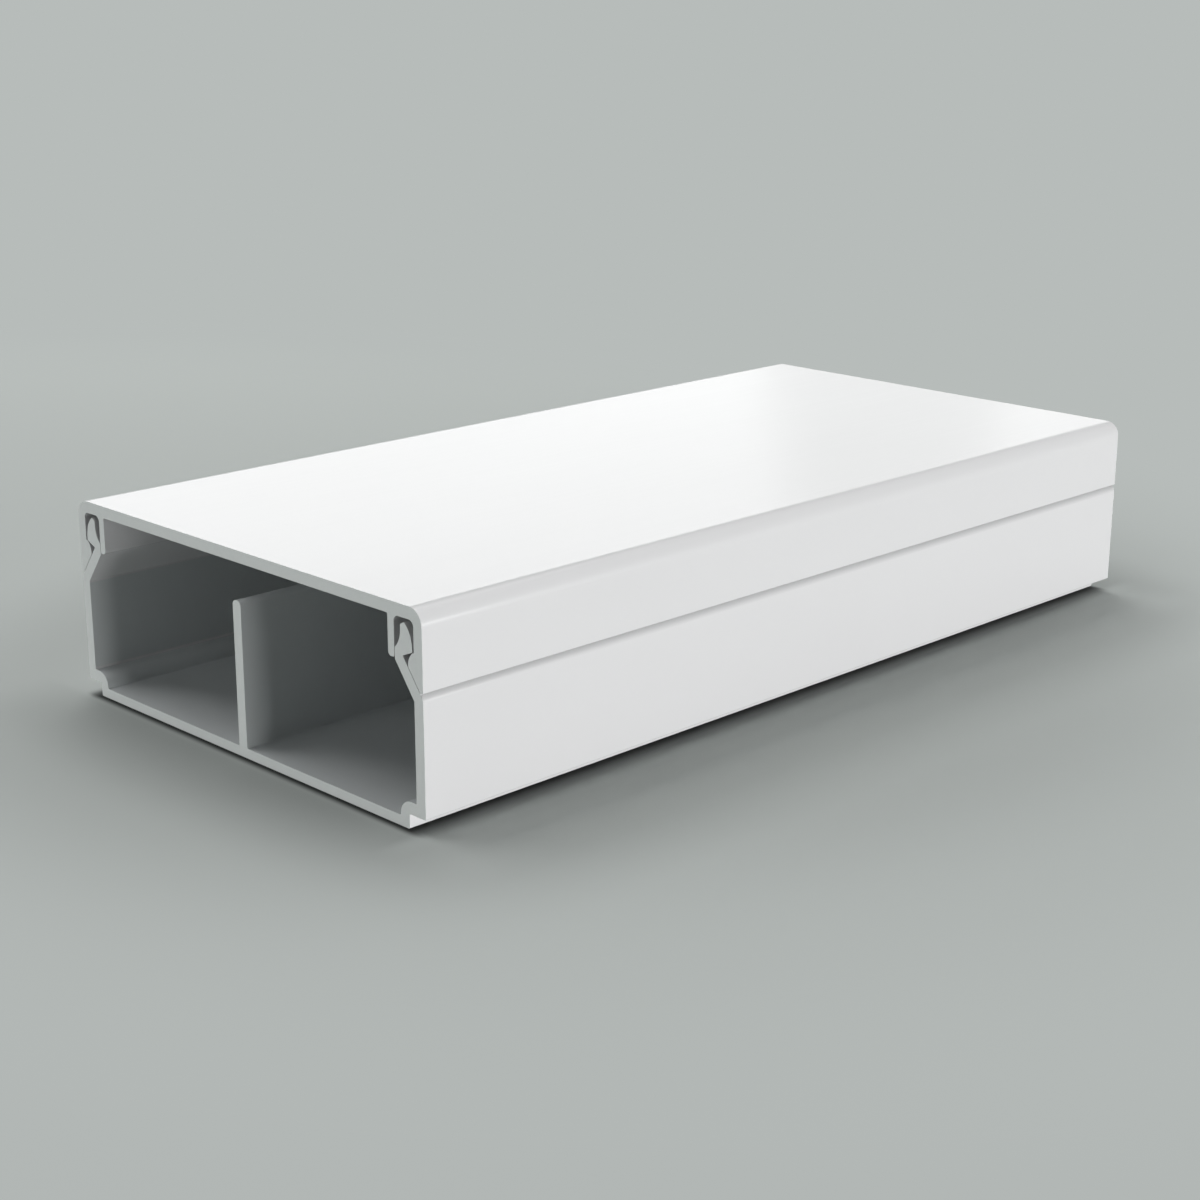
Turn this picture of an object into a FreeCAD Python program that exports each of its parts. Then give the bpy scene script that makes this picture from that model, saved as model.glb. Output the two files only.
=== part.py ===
# Cord cover raceway: a short length of two-compartment cable trunking in white uPVC.
# It is two extrusions: a base channel that is fixed to the wall, and a lid that snaps on.
# Millimetres. X runs across the trunking, Y along its length, Z up from the wall side.
# The origin is at the middle of the underside. Each extrusion is drawn as the right half
# of its section, padded along the length and mirrored in the middle plane.
import FreeCAD, Part
import math
import os
import Sketcher

# Every size that can be set by itself.
SIZES = {
    # the whole trunking
    "trunk_length": 200.0,
    "trunk_width": 100.0,
    "trunk_height": 38.3,
    "lid_depth": 14.15,         # from the roof down to the seam between lid and base
    # the base channel
    "floor_wall": 1.85,
    "side_wall": 2.2,
    "step_wall": 2.2,           # the bent wall that runs round the step at each foot
    "foot_inset": 4.1,          # how far the foot stands in from the side face
    "foot_height": 2.65,        # how high the side face stops above the feet
    "partition_wall": 2.3,
    "partition_gap": 7.0,       # from the top of the partition to the roof
    "groove_depth": 0.7,        # the wall is rounded in under the seam, which leaves a groove
    "groove_height": 1.45,
    "arm_wall": 2.15,           # the leaning arm that carries the snap head
    # the snap head
    "head_gap": 0.7,            # from the crest of the head to the roof
    "head_height": 5.7,         # from the neck to the crest
    "head_width": 4.3,
    "barb_gap": 0.45,           # between the barb and the lid's flange
    "barb_reach": 2.4,          # how far the barb stands out over the arm
    "barb_rise": 1.0,           # how much higher the barb's edge is than the neck
    "barb_side": 0.75,          # the upright stretch above the barb's edge
    "nose_run": 1.9,            # from the barb's side in to the crest
    "crest_drop": 0.55,         # from the crest to the corner beside it
    "hollow_drop": 1.45,        # from the crest to the top of the hollow back
    "hollow_depth": 1.45,
    # the lid
    "roof_wall": 2.2,
    "flange_wall": 2.05,
    "leg_wall": 1.55,
    "leg_length": 7.15,
    "tip_drop": 1.55,           # from the level of the neck to the tip of the catch wedge
    # the fit between the two, and the rounded edges
    "snap_clearance": 0.12,
    "roof_rounding": 3.0,
    "step_rounding": 2.6,
    "partition_rounding": 1.0,
    "pocket_rounding": 1.1,
    "leg_rounding": 0.7,
    "edge_rounding": 0.3,
    "barb_rounding": 0.25,
}

# Places worked out from the sizes: x is out from the middle plane, z is up from the wall.
PLACES = {
    "half_x": "Sizes.trunk_width / 2",
    "roof_top_z": "Sizes.trunk_height",
    "roof_z": "Sizes.trunk_height - Sizes.roof_wall",
    "seam_z": "Sizes.trunk_height - Sizes.lid_depth",
    # the step and the side wall
    "floor_z": "Sizes.floor_wall",
    "step_z": "Sizes.foot_height",
    "ledge_z": "Sizes.foot_height + Sizes.step_wall",
    "foot_x": "Sizes.trunk_width / 2 - Sizes.foot_inset",
    "riser_x": "Sizes.trunk_width / 2 - Sizes.foot_inset - Sizes.step_wall",
    "wall_x": "Sizes.trunk_width / 2 - Sizes.side_wall",
    "groove_x": "Sizes.trunk_width / 2 - Sizes.groove_depth",
    "groove_z": "Places.seam_z - Sizes.groove_height",
    # the middle partition
    "partition_x": "Sizes.partition_wall / 2",
    "partition_z": "Sizes.trunk_height - Sizes.roof_wall - Sizes.partition_gap",
    # the snap head, in from the lid's flange and down from its roof
    "flange_x": "Sizes.trunk_width / 2 - Sizes.flange_wall",
    "barb_x": "Places.flange_x - Sizes.barb_gap",
    "neck_x": "Places.barb_x - Sizes.barb_reach",
    "head_x": "Places.barb_x - Sizes.head_width",
    "crest_x": "Places.barb_x - Sizes.nose_run",
    "hollow_x": "Places.head_x + Sizes.hollow_depth",
    "crest_z": "Places.roof_z - Sizes.head_gap",
    "shoulder_z": "Places.crest_z - Sizes.crest_drop",
    "hollow_z": "Places.crest_z - Sizes.hollow_drop",
    "neck_z": "Places.crest_z - Sizes.head_height",
    "barb_z": "Places.neck_z + Sizes.barb_rise",
    "nose_z": "Places.barb_z + Sizes.barb_side",
    # the lid's catch wedge and inner leg, a clearance away from the head and the arm
    "catch_x": "Places.barb_x + Sizes.snap_clearance",
    "catch_z": "Places.barb_z",
    "tip_z": "Places.neck_z - Sizes.tip_drop",
    "flange_foot_z": "Places.seam_z + Sizes.snap_clearance",
    "leg_out_x": "Places.head_x - Sizes.snap_clearance",
    "leg_in_x": "Places.head_x - Sizes.snap_clearance - Sizes.leg_wall",
    "leg_foot_z": "Places.roof_z - Sizes.leg_length",
}

ON_AXIS = 0
TOLERANCE = 1e-4


def fill_sheet(doc):
    """The driving sizes, one named cell each."""
    sheet = doc.addObject("Spreadsheet::Sheet", "Sizes")
    for row, (name, size) in enumerate(SIZES.items(), start=1):
        sheet.set(f"A{row}", name.replace("_", " "))
        sheet.set(f"B{row}", str(size))
        sheet.setAlias(f"B{row}", name)
    doc.recompute()
    return sheet


def fill_places(doc):
    """The worked-out places, each bound to the sizes by its expression."""
    places = doc.addObject("App::VarSet", "Places")
    for name, expression in PLACES.items():
        places.addProperty("App::PropertyFloat", name)
        places.setExpression(name, expression)
    doc.recompute()
    return places


def origin_plane(body, role):
    """One of the body's own origin planes."""
    return next(plane for plane in body.Origin.OriginFeatures if plane.Role == role)


class Section:
    """A sketch across the trunking: a closed outline whose corners are named places.

    A corner is a pair (x, z). Each is a place's name, ON_AXIS, or a number where the corner
    is loose in that direction: the number is where it starts, and a constraint sets it.
    """

    # how a sketch numbers the ends of a side, an arc's centre and its own origin
    START, END, CENTRE = range(1, 4)
    ORIGIN = (-1, 1)

    def __init__(self, body, name, places):
        self.sketch = body.newObject("Sketcher::SketchObject", name)
        self.sketch.AttachmentSupport = (origin_plane(body, "XZ_Plane"), "")
        self.sketch.MapMode = "FlatFace"
        self.places = places

    def value(self, place):
        """Where a place is now."""
        if isinstance(place, str):
            return self.places.getPropertyByName(place)
        return place

    def point(self, corner):
        return FreeCAD.Vector(self.value(corner[0]), self.value(corner[1]), 0)

    def constrain(self, kind, *arguments):
        return self.sketch.addConstraint(Sketcher.Constraint(kind, *arguments))

    def dimension(self, expression, kind, *arguments):
        """A constraint with a size, bound to its expression."""
        index = self.constrain(kind, *arguments)
        self.sketch.setExpression(f"Constraints[{index}]", expression)

    def line(self, start, end, construction=False):
        """A straight side: its number in the sketch, its first end and its last end."""
        segment = Part.LineSegment(self.point(start), self.point(end))
        return self.sketch.addGeometry(segment, construction), self.START, self.END

    def arc(self, start, end, upright_at):
        """A side that is an arc, upright at its START or its END, with its centre level there."""
        points = [self.point(start), self.point(end)]
        upright, other = points if upright_at == self.START else reversed(points)
        run, rise = other.x - upright.x, other.y - upright.y
        reach = (run * run + rise * rise) / (2 * run)
        centre = FreeCAD.Vector(upright.x + reach, upright.y, 0)
        angles = [math.atan2(point.y - centre.y, point.x - centre.x) for point in points]
        ends = [self.START, self.END]
        if (angles[1] - angles[0]) % math.tau > math.pi:
            angles.reverse()
            ends.reverse()
        circle = Part.Circle(centre, FreeCAD.Vector(0, 0, 1), abs(reach))
        index = self.sketch.addGeometry(Part.ArcOfCircle(circle, *angles))
        upright_end = ends[0] if upright_at == self.START else ends[1]
        self.constrain("Horizontal", index, self.CENTRE, index, upright_end)
        return index, *ends

    def place_corner(self, side, end, x_place, z_place):
        """Dimensions a corner from the origin, in the directions that aren't None or loose."""
        for place, distance, in_line in ((x_place, "DistanceX", "Vertical"),
                                         (z_place, "DistanceY", "Horizontal")):
            points = (*self.ORIGIN, side, end)
            if isinstance(place, str):
                self.dimension(f"Places.{place}", distance, *points, self.value(place))
            elif place == ON_AXIS:
                self.constrain(in_line, *points)

    def outline(self, corners, arcs):
        """A closed ring of sides. Two corners in a row that share a place are level or upright.

        arcs gives the sides that are arcs, by the number of the corner they start at, and
        which of their ends is upright.
        """
        ring = list(zip(corners, corners[1:] + corners[:1]))
        sides = [self.arc(*ends, arcs[number]) if number in arcs else self.line(*ends)
                 for number, ends in enumerate(ring)]
        for (side, _, last), (after, first, _) in zip(sides, sides[1:] + sides[:1]):
            self.constrain("Coincident", side, last, after, first)
        self.place_corner(sides[0][0], sides[0][1], *corners[0])
        for (side, _, last), (start, end) in list(zip(sides, ring))[:-1]:
            upright = start[0] == end[0]
            level = start[1] == end[1]
            if upright:
                self.constrain("Vertical", side)
            if level:
                self.constrain("Horizontal", side)
            self.place_corner(side, last, None if upright else end[0], None if level else end[1])
        return [side for side, _, _ in sides]

    def offset(self, side, guide, expression, size):
        """Keeps a side parallel to a guide line, a wall or a clearance away from it."""
        self.constrain("Parallel", side, guide)
        self.dimension(expression, "Distance", guide, self.START, side, size)


def base_section(body, places):
    """The base's right half: half the partition, floor, stepped foot, side wall, arm and head."""
    section = Section(body, "base_section", places)
    arm_foot_z = section.value("seam_z") - SIZES["arm_wall"]
    arm_top_z = section.value("neck_z") - SIZES["arm_wall"]
    corners = [
        (ON_AXIS, ON_AXIS),
        ("foot_x", ON_AXIS),
        ("foot_x", "step_z"),
        ("half_x", "step_z"),
        ("half_x", "groove_z"),
        ("groove_x", "seam_z"),
        ("neck_x", "neck_z"),
        ("barb_x", "barb_z"),
        ("barb_x", "nose_z"),
        ("crest_x", "crest_z"),
        ("hollow_x", "shoulder_z"),
        ("hollow_x", "hollow_z"),
        ("head_x", "barb_z"),
        ("head_x", arm_top_z),
        ("wall_x", arm_foot_z),
        ("wall_x", "ledge_z"),
        ("riser_x", "ledge_z"),
        ("riser_x", "floor_z"),
        ("partition_x", "floor_z"),
        ("partition_x", "partition_z"),
        (ON_AXIS, "partition_z"),
    ]
    groove, nose, hollow = 4, 8, 11
    arm_outside, arm_inside = 5, 13
    sides = section.outline(corners, dict.fromkeys((groove, nose, hollow), section.START))
    section.offset(sides[arm_inside], sides[arm_outside], "Sizes.arm_wall", SIZES["arm_wall"])
    return section.sketch


def lid_section(body, places):
    """The lid's right half: roof, inner leg, the pocket for the head, catch wedge and flange."""
    section = Section(body, "lid_section", places)
    shoulder, neck = ("groove_x", "seam_z"), ("neck_x", "neck_z")
    run = section.value("neck_x") - section.value("groove_x")
    rise = section.value("neck_z") - section.value("seam_z")
    tip_rise = section.value("tip_z") - section.value("seam_z")
    flange_foot_x = section.value("groove_x") + SIZES["snap_clearance"]
    tip_x = flange_foot_x + run * tip_rise / rise
    corners = [
        (ON_AXIS, "roof_z"),
        ("leg_in_x", "roof_z"),
        ("leg_in_x", "leg_foot_z"),
        ("leg_out_x", "leg_foot_z"),
        ("leg_out_x", "roof_z"),
        ("flange_x", "roof_z"),
        ("flange_x", "catch_z"),
        ("catch_x", "catch_z"),
        (tip_x, "tip_z"),
        (flange_foot_x, "flange_foot_z"),
        ("half_x", "flange_foot_z"),
        ("half_x", "roof_top_z"),
        (ON_AXIS, "roof_top_z"),
    ]
    catch, wedge_underside = 7, 8
    sides = section.outline(corners, {catch: section.END})
    arm_face, _, _ = section.line(shoulder, neck, construction=True)
    section.place_corner(arm_face, section.START, *shoulder)
    section.place_corner(arm_face, section.END, *neck)
    section.offset(sides[wedge_underside], arm_face, "Sizes.snap_clearance",
                   SIZES["snap_clearance"])
    return section.sketch


def extrude(body, sketch):
    """Pads the half section along the whole length and mirrors it in the middle plane."""
    pad = body.newObject("PartDesign::Pad", "right_half")
    pad.Profile = sketch
    pad.SideType = "Symmetric"
    pad.setExpression("Length", "Sizes.trunk_length")
    body.Document.recompute()
    both = body.newObject("PartDesign::Mirrored", "both_halves")
    both.Originals = [pad]
    both.MirrorPlane = (origin_plane(body, "YZ_Plane"), [""])
    body.Tip = both
    body.Document.recompute()


def edges_at(shape, x, z):
    """The names of the edges that run along the length at x, on both sides, and at z."""
    names = []
    for number, edge in enumerate(shape.Edges, start=1):
        box = edge.BoundBox
        along = box.XLength < TOLERANCE and box.ZLength < TOLERANCE
        if along and abs(abs(box.XMin) - x) < TOLERANCE and abs(box.ZMin - z) < TOLERANCE:
            names.append(f"Edge{number}")
    return names


def round_edges(body, places, name, size, corners):
    """Rounds the long edges that stand at the given corners of the section."""
    before = body.Tip
    edges = []
    for corner in corners:
        x, z = (0.0 if place == ON_AXIS else places.getPropertyByName(place)
                for place in corner)
        found = edges_at(before.Shape, x, z)
        if len(found) != 2:
            raise ValueError(f"{name}: {len(found)} edges at {corner}, not one on each side")
        edges += found
    fillet = body.newObject("PartDesign::Fillet", name)
    fillet.Base = (before, edges)
    fillet.setExpression("Radius", f"Sizes.{size}")
    body.Tip = fillet
    body.Document.recompute()


def make_trunking_base(doc, places):
    """The base channel, from the wall side up to the snap heads."""
    body = doc.addObject("PartDesign::Body", "trunking_base")
    extrude(body, base_section(body, places))
    round_edges(body, places, "step_bend", "step_rounding", [("riser_x", "ledge_z")])
    round_edges(body, places, "partition_top", "partition_rounding", [
        ("partition_x", "partition_z"),
    ])
    round_edges(body, places, "channel_edges", "edge_rounding", [
        ("foot_x", ON_AXIS),
        ("half_x", "step_z"),
        ("riser_x", "floor_z"),
        ("wall_x", "ledge_z"),
        ("partition_x", "floor_z"),
    ])
    round_edges(body, places, "head_edges", "barb_rounding", [
        ("barb_x", "barb_z"),
        ("crest_x", "crest_z"),
        ("hollow_x", "shoulder_z"),
    ])
    return body


def make_snap_lid(doc, places):
    """The lid, from the catch wedges up to the roof."""
    body = doc.addObject("PartDesign::Body", "snap_lid")
    extrude(body, lid_section(body, places))
    round_edges(body, places, "roof_corners", "roof_rounding", [("half_x", "roof_top_z")])
    round_edges(body, places, "pocket_corners", "pocket_rounding", [
        ("leg_out_x", "roof_z"),
        ("flange_x", "roof_z"),
    ])
    round_edges(body, places, "leg_feet", "leg_rounding", [("leg_in_x", "leg_foot_z")])
    round_edges(body, places, "lid_edges", "edge_rounding", [
        ("half_x", "flange_foot_z"),
        ("leg_in_x", "roof_z"),
        ("leg_out_x", "leg_foot_z"),
    ])
    return body


def check(doc, bodies):
    """Nothing is written unless every object is sound and every extrusion is one solid."""
    for item in doc.Objects:
        if "Invalid" in item.State or "Error" in item.State:
            raise ValueError(f"{item.Name} failed: {item.State}")
        if item.TypeId == "Sketcher::SketchObject" and not item.FullyConstrained:
            raise ValueError(f"{item.Name} isn't fully dimensioned")
    for body in bodies:
        shape = body.Shape
        if shape.isNull() or not shape.isValid() or len(shape.Solids) != 1:
            raise ValueError(f"{body.Label} isn't one valid solid")
        print(f"{body.Label}: {shape.Volume / 1000:.2f} cm3, {len(shape.Faces)} faces")
    shared = bodies[0].Shape.common(bodies[1].Shape).Volume
    gap = bodies[0].Shape.distToShape(bodies[1].Shape)[0]
    print(f"overlap of the two extrusions: {shared:.4f} mm3, smallest gap {gap:.3f} mm")


doc = FreeCAD.newDocument("cord_cover_raceway")
fill_sheet(doc)
places = fill_places(doc)
bodies = [make_trunking_base(doc, places), make_snap_lid(doc, places)]
doc.recompute()
check(doc, bodies)
os.makedirs("parts", exist_ok=True)
for body in bodies:
    body.Shape.exportStep(f"parts/{body.Label}.step")
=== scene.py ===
import math

import bpy
from mathutils import Matrix, Vector


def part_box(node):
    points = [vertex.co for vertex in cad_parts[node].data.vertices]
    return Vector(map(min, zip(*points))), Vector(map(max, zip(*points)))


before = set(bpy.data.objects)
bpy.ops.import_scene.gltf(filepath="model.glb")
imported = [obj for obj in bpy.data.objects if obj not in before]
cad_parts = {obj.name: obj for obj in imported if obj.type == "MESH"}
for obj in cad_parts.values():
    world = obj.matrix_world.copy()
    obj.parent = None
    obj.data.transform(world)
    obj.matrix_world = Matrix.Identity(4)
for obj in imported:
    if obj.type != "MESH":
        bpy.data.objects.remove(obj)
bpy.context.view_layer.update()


# The channel base is one extrusion of white uPVC: floor, stepped feet, side walls, partition
# and the leaning arms with their snap heads. The die leaves it glossy, with faint lines along
# its length, and the saw leaves its two ends square and matt.
class Shade:
    """A socket among a material's nodes. Arithmetic on it adds Math nodes."""

    def __init__(self, socket):
        self.socket = socket

    def node(self, kind, settings, sockets, output=0):
        """Any other node: its type, its settings, then the values or links of its sockets."""
        tree = self.socket.id_data
        made = tree.nodes.new(kind)
        for name, value in settings.items():
            setattr(made, name, value)
        for name, value in sockets.items():
            if isinstance(value, Shade):
                tree.links.new(value.socket, made.inputs[name])
            else:
                made.inputs[name].default_value = value
        return Shade(made.outputs[output])

    def maths(self, operation, *values):
        return self.node("ShaderNodeMath", {"operation": operation}, dict(enumerate(values)))

    def __add__(self, other):
        return self.maths("ADD", self, other)

    def __sub__(self, other):
        return self.maths("SUBTRACT", self, other)

    def __rsub__(self, other):
        return self.maths("SUBTRACT", other, self)

    def __mul__(self, other):
        return self.maths("MULTIPLY", self, other)

    __radd__ = __add__
    __rmul__ = __mul__

    def feed(self, shader, name):
        """Links this socket to one of the shader's own."""
        self.socket.id_data.links.new(self.socket, shader.inputs[name])


def tint(factor, first, second):
    """A colour between two others."""
    return factor.node("ShaderNodeMix", {"data_type": "RGBA"}, {0: factor, 6: first, 7: second}, 2)


def noise(place, scales, offset, detail):
    """Noise from 0 to 1 whose grain is set along each axis, in grains a metre."""
    stretched = place.node("ShaderNodeVectorMath", {"operation": "MULTIPLY_ADD"},
                           {0: place, 1: scales, 2: offset})
    return stretched.node("ShaderNodeTexNoise", {}, {
        "Vector": stretched, "Scale": 1.0, "Detail": detail, "Roughness": 0.55})


def white_upvc(name, half_length, blade_centre, offset, channel=False):
    """White uPVC as it leaves the die, and as the saw leaves its two ends."""
    material = bpy.data.materials.new(name)
    material.use_nodes = True
    shader = material.node_tree.nodes["Principled BSDF"]
    shader.inputs["IOR"].default_value = 1.53
    coordinates = material.node_tree.nodes.new("ShaderNodeTexCoord")
    place = Shade(coordinates.outputs["Object"])
    across = place.node("ShaderNodeSeparateXYZ", {}, {0: place}, "X")
    across = across.maths("ABSOLUTE", across)
    along = place.node("ShaderNodeSeparateXYZ", {}, {0: place}, "Y")
    height = place.node("ShaderNodeSeparateXYZ", {}, {0: place}, "Z")

    # the square cut ends
    hair = 0.00002
    sawn = along.maths("GREATER_THAN", along.maths("ABSOLUTE", along), half_length - hair)

    # the die's fine lines, the slow bow of the walls, and how evenly the compound is mixed
    line_depth, bow_depth = 0.0000011, 0.000012
    die_lines = noise(place, (850, 4, 850), offset, 3.0)
    bow = noise(place, (26, 9, 26), offset, 0.0)
    mixing = noise(place, (45, 14, 45), offset, 2.0)
    drawn_relief = die_lines * line_depth + bow * bow_depth
    drawn = tint(mixing, (0.788, 0.787, 0.794, 1), (0.818, 0.817, 0.824, 1))
    gloss = 0.18 + die_lines * 0.06

    # the blade's arcs, torn a little where the plastic softened
    section = place.node("ShaderNodeVectorMath", {"operation": "MULTIPLY"},
                         {0: place, 1: (1, 0, 1)})
    radius = section.node("ShaderNodeVectorMath", {"operation": "DISTANCE"},
                          {0: section, 1: blade_centre}, "Value")
    arc_depth, tear_depth, arcs_a_metre = 0.0000016, 0.000009, 7400
    tearing = noise(place, (700, 700, 700), offset, 4.0)
    arcs = radius.maths("SINE", radius * arcs_a_metre + tearing * 5)
    sawn_relief = arcs * arc_depth + tearing * tear_depth
    cut = tint(tearing, (0.79, 0.83, 0.815, 1), (0.84, 0.875, 0.862, 1))

    if channel:
        # inside, the partition and the faces below the arms are duller, with painted shade that
        # makes them greyer: the limits run through the middle of the floor and of the walls
        floor_middle, wall_middle, corner_reach = 0.0012, 0.049, 0.0425
        arm_foot, partition_side, partition_rise = 0.0222, 0.003, 0.01
        top = across.maths("LESS_THAN", across, partition_side) * partition_rise + arm_foot
        side = height.maths("MINIMUM", height + corner_reach, wall_middle)
        inside = (height.maths("GREATER_THAN", height, floor_middle)
                  * height.maths("LESS_THAN", height, top)
                  * across.maths("LESS_THAN", across, side))
        drawn = tint(inside, drawn, (0.68, 0.71, 0.715, 1))
        gloss = gloss + inside * 0.12

        # outside, painted shade darkens the groove under the lid's edge, most at the top
        groove_bottom, groove_top, groove_floor = 0.0227, 0.02415, 0.0491
        in_groove = height.node("ShaderNodeMapRange", {}, {
            "Value": height, "From Min": groove_bottom, "From Max": groove_top})
        groove_shade = in_groove * across.maths("GREATER_THAN", across, groove_floor)
        drawn = tint(groove_shade, drawn, (0.53, 0.53, 0.535, 1))

    relief = drawn_relief * (1 - sawn) + sawn_relief * sawn
    bumped = relief.node("ShaderNodeBump", {}, {
        "Strength": 1.0, "Distance": 1.0, "Height": relief})
    bumped.feed(shader, "Normal")
    tint(sawn, drawn, cut).feed(shader, "Base Color")
    (gloss * (1 - sawn) + (0.5 + tearing * 0.12) * sawn).feed(shader, "Roughness")
    return material


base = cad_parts["trunking_base"]
half_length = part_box("trunking_base")[1][1]
blade_centre = (0.03, 0, -0.11)
base.material_slots[0].material = white_upvc(
    "channel_upvc", half_length, blade_centre, (3.1, 0.7, 5.3), channel=True)

# The lid is a second, flat extrusion of the same compound: a roof with rounded corners, and
# on each side a flange whose catch wedge snaps under the base's barb, and an inner leg. Its
# show face is the smoothest of all, and it was sawn in one cut with the base.
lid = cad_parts["snap_lid"]
lid.material_slots[0].material = white_upvc(
    "lid_upvc", half_length, blade_centre, (8.4, 2.9, 1.6))

# The floor is a wide sheet of pale grey studio paper, with a shadow painted round the piece,
# lightest far from it and darkest where the piece stands on it. Past the lamps' reach it is
# shown at an even brightness, up to the horizon.
floor_drop = 0.00025
bpy.ops.mesh.primitive_plane_add(size=60, location=(0, 0, -floor_drop))
bpy.ops.object.transform_apply()
floor = bpy.context.object
floor.name = "floor"
paper = bpy.data.materials.new("studio_paper")
paper.use_nodes = True
paper_nodes = paper.node_tree.nodes
matt = paper_nodes["Principled BSDF"]
matt.inputs["Roughness"].default_value = 0.9
place = Shade(paper_nodes.new("ShaderNodeTexCoord").outputs["Object"])
far_grey = (0.474, 0.503, 0.491, 1)


def seen_directly(shade):
    """1 where the eye, a reflection or a view through glass sees it, and 0 where it lights."""
    rays = "ShaderNodeLightPath"
    direct = (shade.node(rays, {}, {}, "Is Camera Ray") + shade.node(rays, {}, {}, "Is Glossy Ray")
              + shade.node(rays, {}, {}, "Is Transmission Ray"))
    return direct.maths("MINIMUM", direct, 1.0)


def ease(value, start, end, low=0.0, high=1.0):
    """A smooth step from one level to another."""
    return value.node("ShaderNodeMapRange", {"interpolation_type": "SMOOTHSTEP"}, {
        "Value": value, "From Min": start, "From Max": end, "To Min": low, "To Max": high})


def vectors(operation, *values):
    """One step of vector arithmetic on the paper's places."""
    return place.node("ShaderNodeVectorMath", {"operation": operation}, dict(enumerate(values)))


def length(vector):
    return vector.node("ShaderNodeVectorMath", {"operation": "LENGTH"}, {0: vector}, "Value")


def from_middle(middle, stretch):
    """The distance from a middle, with the piece's length counted more or less."""
    return length(vectors("MULTIPLY", vectors("SUBTRACT", place, middle), (1, stretch, 0)))


# the paper: fine fibre, and a painted shadow round the piece that lightens away from it
fibre = noise(place, (900, 900, 900), (0, 0, 0), 2.0)
out_of_painted_shadow = ease(from_middle((-0.004, -0.006, 0), 0.8), 0.09, 0.137)
shadowed_paper_grey = tint(out_of_painted_shadow, (0.44, 0.469, 0.4535, 1), (0.549, 0.585, 0.567, 1))
shadowed_paper_grey = tint(fibre * 0.06, shadowed_paper_grey, (0.4, 0.42, 0.41, 1))

# the painted contact shadow, by distance from the feet, counted wide beside them, narrow at the
# ends
foot_edge = 0.0459
beyond = vectors("SUBTRACT", vectors("ABSOLUTE", place), (foot_edge, half_length, 0))
beyond = vectors("MAXIMUM", beyond, (0, 0, 0))
contact_shadow = ease(length(vectors("MULTIPLY", beyond, (192, 520, 0))), 0.0, 1.0, 0.04, 1.0)

# the shade in front of the sawn end, and the wall's light on the paper at the right
past_end = beyond.node("ShaderNodeSeparateXYZ", {}, {0: beyond}, "Y")
past_side = beyond.node("ShaderNodeSeparateXYZ", {}, {0: beyond}, "X")
beside = place.node("ShaderNodeSeparateXYZ", {}, {0: place}, "X") - foot_edge
end_shade = ease(past_end, 0.0, 0.003, 0.0, 0.12) - ease(past_end, 0.008, 0.03, 0.0, 0.12)
end_shade = end_shade * ease(past_side, 0.0, 0.02, 1.0, 0.0) * ease(beside, -0.016, 0.01, 1.0, 0.0)
wall_light = (ease(beside, 0.0012, 0.0042, 0.0, 0.36) - ease(beside, 0.0045, 0.0085, 0.0, 0.17)
              - ease(beside, 0.012, 0.026, 0.0, 0.19)) * ease(past_end, 0.0, 0.012, 1.0, 0.0)
level = contact_shadow * (1 - end_shade) * (1 + wall_light)
shaded = shadowed_paper_grey.node("ShaderNodeVectorMath", {"operation": "SCALE"}, {
    0: shadowed_paper_grey, "Scale": level})

# for the light that it throws back the paper is dull, and less so before the sawn end
ahead = place.node("ShaderNodeSeparateXYZ", {}, {0: place}, "Y") * -1 - half_length
before_end = (ease(ahead, 0.0, 0.004) * ease(ahead, 0.03, 0.09, 1.0, 0.0)
              * ease(past_side, 0.0, 0.04, 1.0, 0.0))
thrown = tint(before_end, (0.22, 0.235, 0.228, 1), (0.44, 0.465, 0.453, 1))
tint(seen_directly(place), thrown, shaded).feed(matt, "Base Color")

# far from the piece it is one even grey, a little darker just before the piece
forwards = place.node("ShaderNodeVectorMath", {"operation": "DOT_PRODUCT"},
                      {0: place, 1: (0.6, -0.8, 0)}, "Value")
in_front = ease(forwards, 0.1, 0.22) - ease(forwards, 0.4, 1.6)
even = paper_nodes.new("ShaderNodeEmission")
tint(in_front, far_grey, (0.4435, 0.4705, 0.4595, 1)).feed(even, "Color")
blend = paper_nodes.new("ShaderNodeMixShader")
reach = ease(from_middle((-0.129, -0.002, 0), 1.44), 0.2, 0.3375)
(reach * contact_shadow * seen_directly(place)).feed(blend, 0)
paper.node_tree.links.new(matt.outputs[0], blend.inputs[1])
paper.node_tree.links.new(even.outputs[0], blend.inputs[2])
paper.node_tree.links.new(blend.outputs[0], paper_nodes["Material Output"].inputs[0])
floor.data.materials.append(paper)

# The room behind is the same even grey. It is only looked at, and lights nothing.
world = bpy.data.worlds.new("studio")
bpy.context.scene.world = world
world.use_nodes = True
background = world.node_tree.nodes["Background"]
background.inputs["Color"].default_value = far_grey
seen_directly(Shade(background.outputs[0])).feed(background, "Strength")


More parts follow.
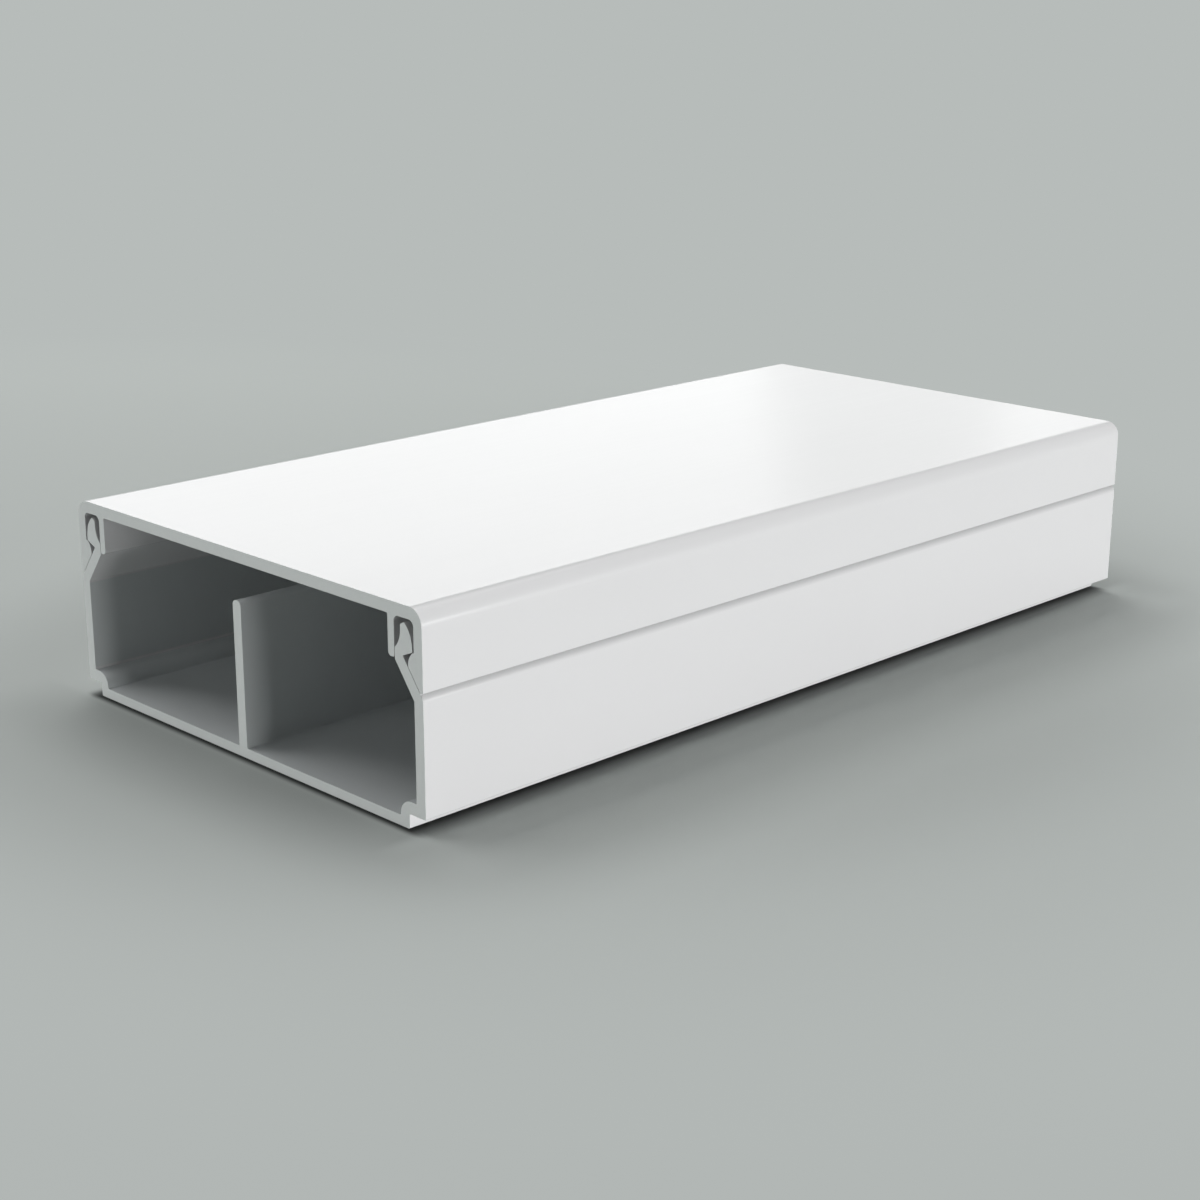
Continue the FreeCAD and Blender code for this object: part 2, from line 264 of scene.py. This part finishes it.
# The lamps are plain soft panels: four low behind, whose reflections whiten the lid's top,
# two high ones, two strips that stand on the floor, one on the right for the side wall and
# one in front for the sawn end, and one high in front that reaches into the channel.
def soft_panel(name, bearing, elevation, width, height, brightness):
    """A white panel 1.6 m away that faces the object. The bearing is from +Y towards +X."""
    panel_distance = 1.6
    turn, rise = math.radians(bearing), math.radians(elevation)
    out = Vector((math.sin(turn) * math.cos(rise), math.cos(turn) * math.cos(rise), math.sin(rise)))
    data = bpy.data.lights.new(name, "AREA")
    data.shape = "RECTANGLE"
    data.size, data.size_y = width, height
    data.energy = brightness * math.pi * width * height
    lamp = bpy.data.objects.new(name, data)
    facing = (-out).to_track_quat("-Z", "Y").to_matrix().to_4x4()
    lamp.matrix_world = Matrix.Translation(out * panel_distance) @ facing
    lamp.visible_camera = False
    bpy.context.scene.collection.objects.link(lamp)


soft_panel("back_left", -54, 14, 0.8, 0.5, 1.35)
soft_panel("back_middle", -35.6, 14, 0.22, 0.5, 0.93)
soft_panel("back_right", -16.7, 14, 0.84, 0.5, 1.33)
soft_panel("back_above", -48, 20.5, 1.0, 0.12, 1.15)
soft_panel("high_back", -60, 70, 1.8, 1.4, 0.7)
soft_panel("high_left", -90, 62, 1.6, 0.9, 3.4)
soft_panel("right_strip", 80, 2.3, 1.2, 0.12, 49)
soft_panel("front_strip", 180, 1.8, 0.3, 0.09, 66)
soft_panel("front_high", 180, 38, 0.8, 0.5, 1.0)

# The camera looks down at the near sawn end from the front right, as the photograph does.
camera_data = bpy.data.cameras.new("camera")
camera_data.lens = 64.54
camera_data.sensor_width = 36
camera = bpy.data.objects.new("camera", camera_data)
yaw, pitch, roll = math.radians(-45.229), math.radians(16.875), math.radians(0.133)
look = Vector((math.sin(yaw) * math.cos(pitch), math.cos(yaw) * math.cos(pitch), -math.sin(pitch)))
camera.matrix_world = (Matrix.Translation((0.29883, -0.3073, 0.13796))
                       @ look.to_track_quat("-Z", "Y").to_matrix().to_4x4()
                       @ Matrix.Rotation(roll, 4, "Z"))
bpy.context.scene.collection.objects.link(camera)
bpy.context.scene.camera = camera
bpy.context.scene.view_settings.view_transform = "Standard"
